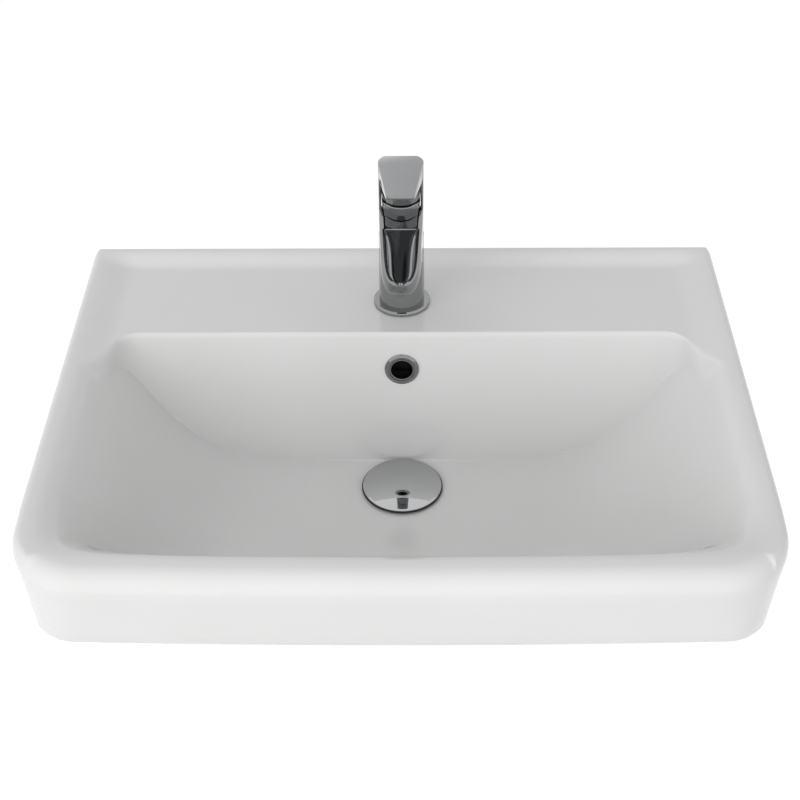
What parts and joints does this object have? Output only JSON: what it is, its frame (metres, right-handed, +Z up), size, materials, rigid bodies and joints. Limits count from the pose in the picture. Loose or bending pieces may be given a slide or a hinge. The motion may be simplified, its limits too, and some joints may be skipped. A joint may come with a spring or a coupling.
{
  "type": "washbasin with single-lever mixer",
  "caption": "Wall-hung rectangular glazed washbasin with a tap shelf, a steep-backed bowl, a chromed single-lever mixer, a chromed overflow ring and a press-to-open waste",
  "frame": {"origin": "middle of the plane of the basin's back face that lies on the wall, midway between the two wall bolt holes", "axes": "+X to the right seen from the front, +Y into the wall, +Z up"},
  "size_m": [0.6, 0.455, 0.3807],
  "materials": {
    "glaze": "white gloss glaze",
    "chrome": "polished chrome plate on brass",
    "brass": "turned brass",
    "rubber": "black rubber",
    "plastic": "moulded plastic",
    "disc": "lapped sintered ceramic",
    "steel": "stainless steel"
  },
  "bodies": {
    "root": {"basin_ceramic": "glaze", "overflow_ring": "chrome", "overflow_sleeve": "rubber", "waste_body": "chrome", "waste_flange_seal": "rubber", "waste_lower_seal": "rubber", "waste_slip_washer": "plastic", "waste_backnut": "brass", "latch_housing": "brass", "latch_spring": "steel", "mixer_body": "chrome", "mixer_base_ring": "chrome", "mixer_base_gasket": "rubber", "cartridge_housing": "plastic", "cartridge_port_seals": "rubber", "fixed_disc": "disc", "cartridge_nut": "brass", "cover_ring": "chrome", "aerator_shell": "chrome", "aerator_insert": "plastic", "aerator_seal": "rubber", "fixing_stud": "steel", "fixing_rubber_washer": "rubber", "fixing_steel_washer": "steel", "fixing_nut": "brass"},
    "turret": {"cartridge_rotor": "plastic", "pivot_pin": "steel"},
    "disc": {"moving_disc": "disc"},
    "lever": {"lever_handle": "chrome", "lever_stem": "brass", "lever_screw": "steel", "lever_screw_plug": "plastic"},
    "plug": {"plug_cap": "chrome", "plug_seal": "rubber", "plug_spindle": "brass"}
  },
  "joints": [
    {"name": "temperature_turn", "type": "hinge", "parent": "root", "child": "turret", "pos_m": [0, -0.08, 0.188], "axis": [0, 0, 1], "range_deg": [-45, 45]},
    {"name": "flow_tilt", "type": "hinge", "parent": "turret", "child": "lever", "pos_m": [0, -0.08, 0.188], "axis": [-1, 0, 0], "range_deg": [0, 25]},
    {"name": "disc_slide", "type": "slide", "parent": "turret", "child": "disc", "axis": [0, -1, 0], "range_m": [0, 0.004]},
    {"name": "plug_lift", "type": "slide", "parent": "root", "child": "plug", "axis": [0, 0, 1], "range_m": [0, 0.009], "deforming": ["latch_spring"]}
  ],
  "couplings": [
    {"joint": "disc_slide", "follows": "flow_tilt", "m_per_rad": 0.009}
  ]
}
